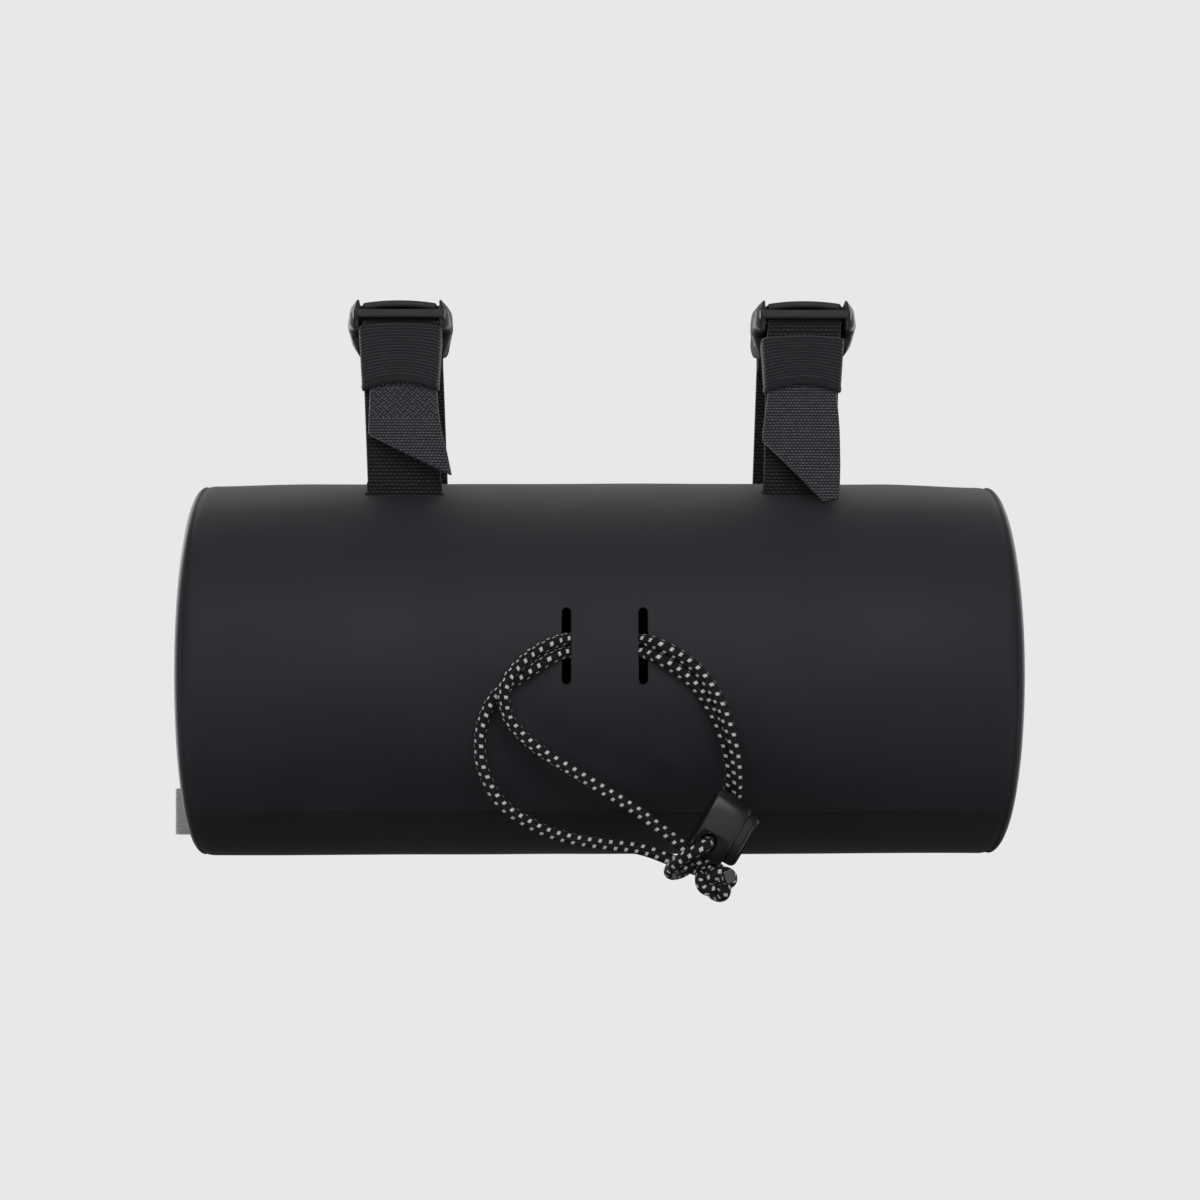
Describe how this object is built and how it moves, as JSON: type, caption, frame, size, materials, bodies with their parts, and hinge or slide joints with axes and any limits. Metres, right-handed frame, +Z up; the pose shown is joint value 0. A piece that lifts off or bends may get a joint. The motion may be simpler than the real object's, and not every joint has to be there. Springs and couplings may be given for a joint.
{
  "type": "handlebar bag",
  "caption": "Small round handlebar bag of coated dark cloth, hung by webbing straps with moulded buckles, with a shock cord, cord lock and stopper knot on its front.",
  "frame": {"origin": "centre of the handlebar, midway between the two straps", "axes": "+X along the handlebar to the right in the picture, +Z up, -Y towards the front of the bag"},
  "size_m": [0.2271, 0.1185, 0.156],
  "materials": {
    "coated_cloth": "matte rubbery coating, dark charcoal",
    "edge_cloth": "matte rubbery coating, a little lighter and greyer",
    "webbing": "ribbed flat webbing, dark charcoal",
    "elastic": "ribbed woven elastic, dark charcoal",
    "buckle_plastic": "satin moulded plastic, near black",
    "lock_plastic": "smooth semi-gloss plastic, black",
    "cord_cloth": "braided sleeve, black with light reflective flecks",
    "zip_tape": "woven tape and coil, black",
    "zip_metal": "dark metal, satin",
    "tab_cloth": "light grey ribbon"
  },
  "bodies": {
    "root": {"shell_panel": "coated_cloth", "base_panel": "coated_cloth", "end_cap_left": "edge_cloth", "end_cap_right": "edge_cloth", "zip_tape": "zip_tape", "zip_slider": "zip_metal", "zip_pull": "tab_cloth", "side_tab": "tab_cloth", "strap_left": "webbing", "strap_right": "webbing", "buckle_left": "buckle_plastic", "buckle_right": "buckle_plastic", "keeper_left": "elastic", "keeper_right": "elastic", "shock_cord": "cord_cloth", "cord_lock_body": "lock_plastic", "cord_lock_button": "lock_plastic", "cord_knot": "cord_cloth"}
  },
  "joints": []
}
